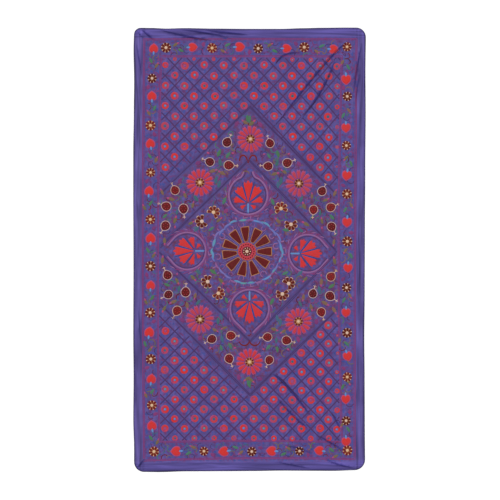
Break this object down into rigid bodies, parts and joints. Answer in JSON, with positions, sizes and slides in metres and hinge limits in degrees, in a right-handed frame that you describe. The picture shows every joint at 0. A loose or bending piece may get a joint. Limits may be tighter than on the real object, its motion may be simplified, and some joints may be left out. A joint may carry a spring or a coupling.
{
  "type": "suzani embroidered textile",
  "caption": "Long rectangular embroidered silk hanging, laid out flat, with rounded corners, plain turned-under margins and soft creases from the corners.",
  "frame": {"origin": "under the middle of the cloth, on the plane it lies on", "axes": "+Z out of the embroidered face, +Y along the length to the top of the design, +X to the right of the design"},
  "size_m": [0.9994, 1.9093, 0.0074],
  "materials": {
    "violet_silk": "soft satin",
    "plum_thread": "silk sheen",
    "indigo_thread": "silk sheen",
    "red_thread": "silk sheen",
    "pink_thread": "silk sheen",
    "maroon_thread": "silk sheen",
    "cream_thread": "silk sheen",
    "gold_thread": "silk sheen",
    "green_thread": "silk sheen",
    "olive_thread": "silk sheen",
    "blue_thread": "silk sheen",
    "sky_thread": "silk sheen",
    "teal_thread": "silk sheen",
    "mauve_thread": "silk sheen",
    "periwinkle_thread": "silk sheen"
  },
  "bodies": {
    "root": {"suzani_cloth": "violet_silk"}
  },
  "joints": []
}
